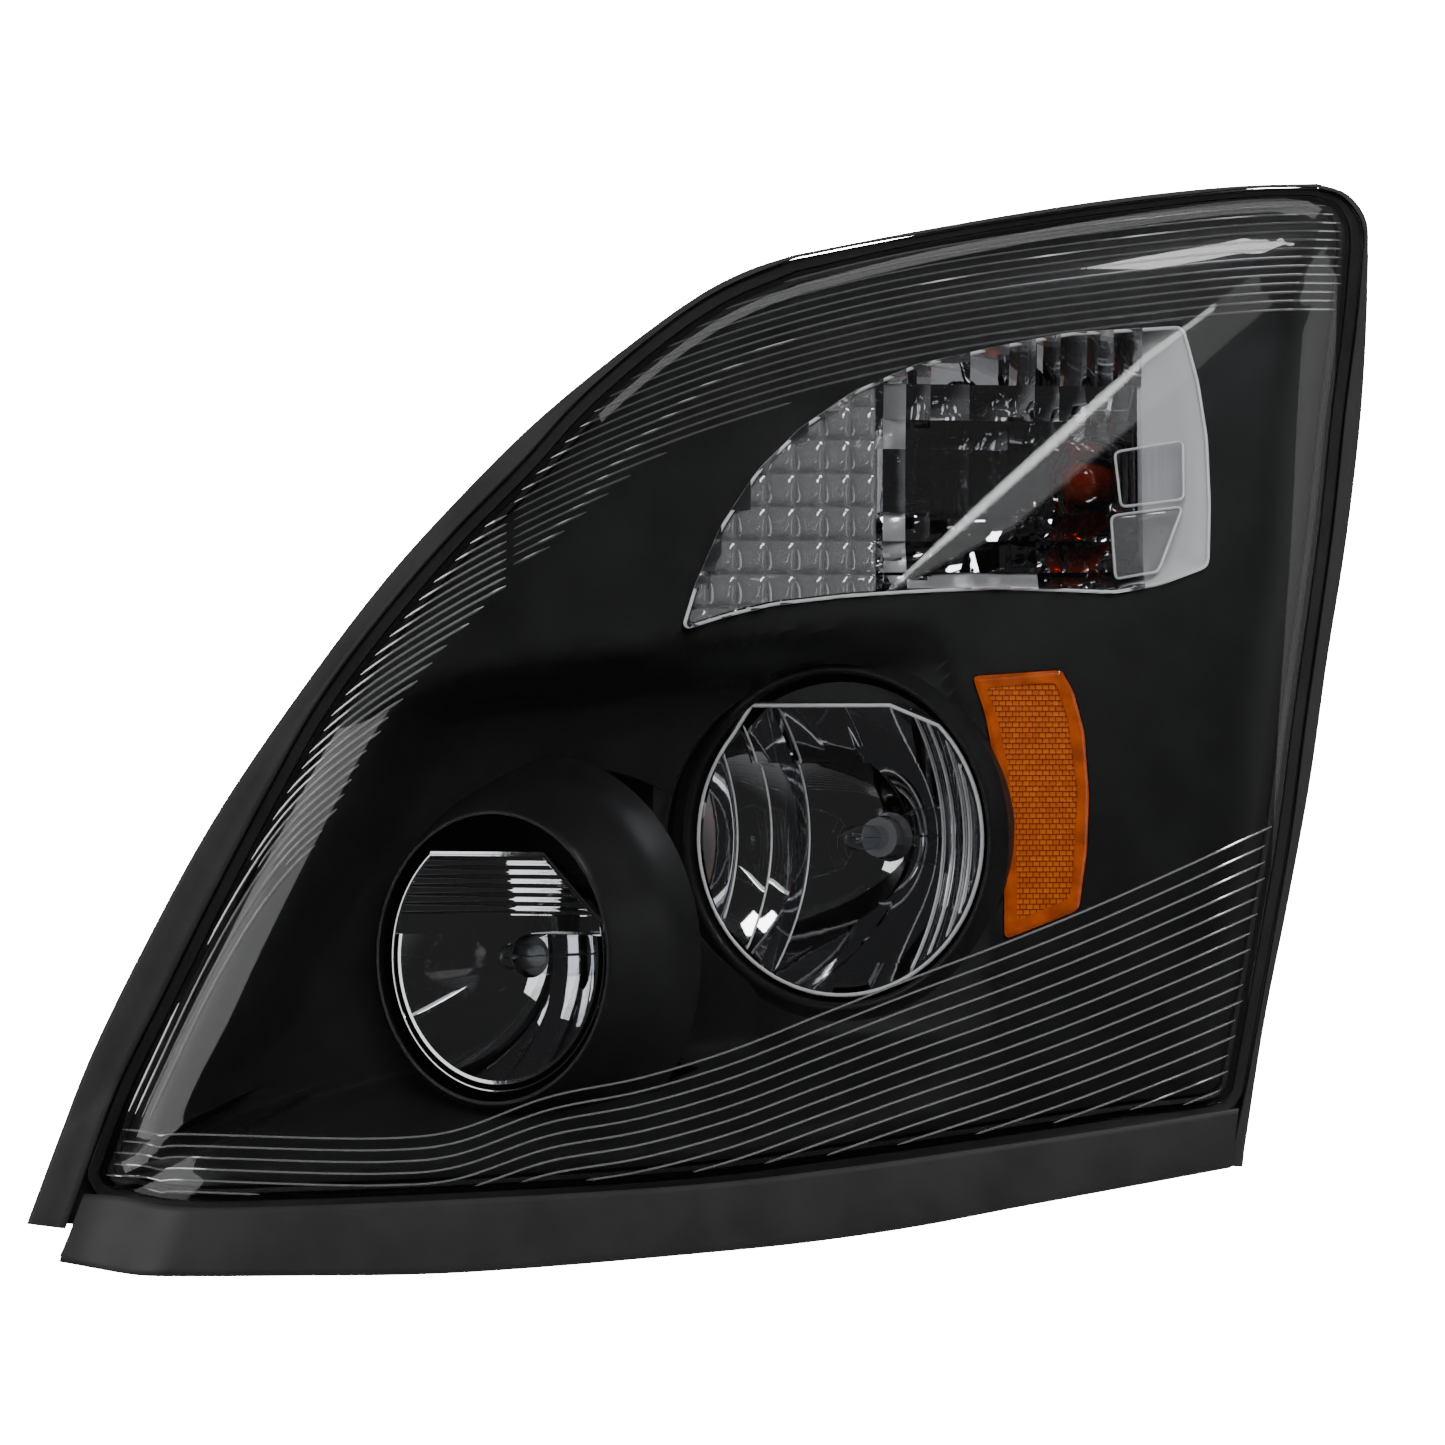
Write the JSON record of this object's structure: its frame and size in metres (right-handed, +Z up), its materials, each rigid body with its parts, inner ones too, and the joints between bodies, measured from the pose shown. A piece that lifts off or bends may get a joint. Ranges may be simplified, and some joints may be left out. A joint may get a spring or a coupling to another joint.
{
  "type": "car headlight assembly",
  "caption": "Wrap-around headlamp with two aimable beams, turn signal, side reflex, gasket, lower trim bar and twist-off rear service caps.",
  "frame": {"origin": "centre of the rear locating pad's face", "axes": "+X outboard, towards the wing side; +Y rearwards, into the vehicle; +Z up"},
  "size_m": [0.6517, 0.2309, 0.5292],
  "materials": {
    "black_housing": "moulded talc-filled polypropylene, fine matte grain",
    "black_bezel": "black semi-gloss moulding",
    "clear_lens": "hard-coated clear polycarbonate with moulded flutes",
    "sealant": "black butyl bead",
    "black_rubber": "matte black elastomer",
    "black_trim": "fine-grained satin black",
    "chrome": "vacuum-metallised mirror",
    "clear_optic": "clear moulded optic",
    "amber": "amber plastic or glass",
    "bulb_glass": "clear quartz glass",
    "grey_plastic": "moulded grey plastic",
    "white_nylon": "natural nylon",
    "zinc_steel": "zinc-plated steel",
    "orange_silicone": "orange silicone"
  },
  "bodies": {
    "lamp_housing": {"rear_housing": "black_housing", "inner_bezel": "black_bezel", "front_lens": "clear_lens", "lens_seal_bead": "sealant", "perimeter_gasket": "black_rubber", "vent_cap": "black_rubber", "lower_trim_bar": "black_trim", "turn_reflector": "chrome", "pillow_optic": "clear_optic", "side_prism": "clear_optic", "side_block": "clear_optic", "reflex_reflector": "amber", "vertical_adjuster_housing": "grey_plastic", "horizontal_adjuster_housing": "grey_plastic", "wiring_connector": "grey_plastic", "pivot_ball_stud": "zinc_steel", "pivot_nut": "zinc_steel", "upper_outboard_stud": "zinc_steel", "upper_inboard_stud": "zinc_steel", "lower_inboard_stud": "zinc_steel", "lower_outboard_stud": "zinc_steel", "bezel_screw_1": "zinc_steel", "bezel_screw_2": "zinc_steel", "bezel_screw_3": "zinc_steel", "bezel_screw_4": "zinc_steel", "trim_screw_1": "zinc_steel", "trim_screw_2": "zinc_steel", "trim_screw_3": "zinc_steel"},
    "aim_swivel": {"pivot_socket": "white_nylon"},
    "reflector_carrier": {"reflector_carrier": "black_housing", "low_beam_reflector": "chrome", "high_beam_reflector": "chrome", "vertical_socket": "white_nylon", "horizontal_socket": "white_nylon", "low_reflector_screw_1": "zinc_steel", "low_reflector_screw_2": "zinc_steel", "low_reflector_screw_3": "zinc_steel", "high_reflector_screw_1": "zinc_steel", "high_reflector_screw_2": "zinc_steel", "high_reflector_screw_3": "zinc_steel"},
    "low_bulb": {"low_bulb_base": "grey_plastic", "low_bulb_glass": "bulb_glass"},
    "high_bulb": {"high_bulb_base": "grey_plastic", "high_bulb_glass": "bulb_glass"},
    "vertical_rod": {"vertical_ball_rod": "white_nylon"},
    "horizontal_rod": {"horizontal_ball_rod": "white_nylon"},
    "vertical_screw": {"vertical_adjuster_screw": "zinc_steel", "vertical_adjuster_knob": "white_nylon"},
    "horizontal_screw": {"horizontal_adjuster_screw": "zinc_steel", "horizontal_adjuster_knob": "white_nylon"},
    "low_seal": {"low_cap_seal": "orange_silicone"},
    "low_cap": {"low_service_cap": "black_housing"},
    "high_seal": {"high_cap_seal": "orange_silicone"},
    "high_cap": {"high_service_cap": "black_housing"},
    "turn_seal": {"turn_holder_seal": "orange_silicone"},
    "turn_holder": {"turn_bulb_holder": "grey_plastic", "turn_bulb": "amber"}
  },
  "joints": [
    {"name": "horizontal_aim", "type": "hinge", "parent": "lamp_housing", "child": "aim_swivel", "pos_m": [0.015, -0.09, 0.025], "axis": [0, 0, 1], "range_deg": [-1, 1]},
    {"name": "vertical_aim", "type": "hinge", "parent": "aim_swivel", "child": "reflector_carrier", "pos_m": [0.015, -0.09, 0.025], "axis": [1, 0, 0], "range_deg": [-1.5, 1.5]},
    {"name": "vertical_rod_slide", "type": "slide", "parent": "lamp_housing", "child": "vertical_rod", "axis": [0, 1, 0], "range_m": [-0.005, 0.005]},
    {"name": "horizontal_rod_slide", "type": "slide", "parent": "lamp_housing", "child": "horizontal_rod", "axis": [0, 1, 0], "range_m": [-0.0024, 0.0024]},
    {"name": "vertical_screw_turn", "type": "hinge", "parent": "lamp_housing", "child": "vertical_screw", "pos_m": [0.015, -0.036, -0.165], "axis": [0, 1, 0], "range_deg": [-448, 448]},
    {"name": "horizontal_screw_turn", "type": "hinge", "parent": "lamp_housing", "child": "horizontal_screw", "pos_m": [-0.12, -0.036, 0.025], "axis": [0, 1, 0], "range_deg": [-213, 213]},
    {"name": "low_bulb_twist", "type": "hinge", "parent": "reflector_carrier", "child": "low_bulb", "pos_m": [0.0645, -0.137, -0.056], "axis": [0.4384, 0.8988, 0], "range_deg": [0, 30]},
    {"name": "high_bulb_twist", "type": "hinge", "parent": "reflector_carrier", "child": "high_bulb", "pos_m": [-0.102, -0.161, -0.113], "axis": [0.4384, 0.8988, 0], "range_deg": [0, 30]},
    {"name": "low_cap_pull", "type": "slide", "parent": "lamp_housing", "child": "low_seal", "axis": [0.4384, 0.8988, 0], "range_m": [0, 0.06]},
    {"name": "low_cap_twist", "type": "hinge", "parent": "low_seal", "child": "low_cap", "pos_m": [0.0645, -0.137, -0.056], "axis": [0.4384, 0.8988, 0], "range_deg": [0, 40]},
    {"name": "high_cap_pull", "type": "slide", "parent": "lamp_housing", "child": "high_seal", "axis": [0.4384, 0.8988, 0], "range_m": [0, 0.06]},
    {"name": "high_cap_twist", "type": "hinge", "parent": "high_seal", "child": "high_cap", "pos_m": [-0.102, -0.161, -0.113], "axis": [0.4384, 0.8988, 0], "range_deg": [0, 40]},
    {"name": "turn_holder_pull", "type": "slide", "parent": "lamp_housing", "child": "turn_seal", "axis": [0.4384, 0.8988, 0], "range_m": [0, 0.07]},
    {"name": "turn_holder_twist", "type": "hinge", "parent": "turn_seal", "child": "turn_holder", "pos_m": [0.19, -0.076, 0.116], "axis": [0.4384, 0.8988, 0], "range_deg": [0, 45]}
  ],
  "couplings": [
    {"joint": "vertical_rod_slide", "follows": "vertical_aim", "m_per_rad": 0.19},
    {"joint": "horizontal_rod_slide", "follows": "horizontal_aim", "m_per_rad": -0.135},
    {"joint": "vertical_screw_turn", "follows": "vertical_aim", "ratio": -298.45},
    {"joint": "horizontal_screw_turn", "follows": "horizontal_aim", "ratio": 212.06}
  ]
}
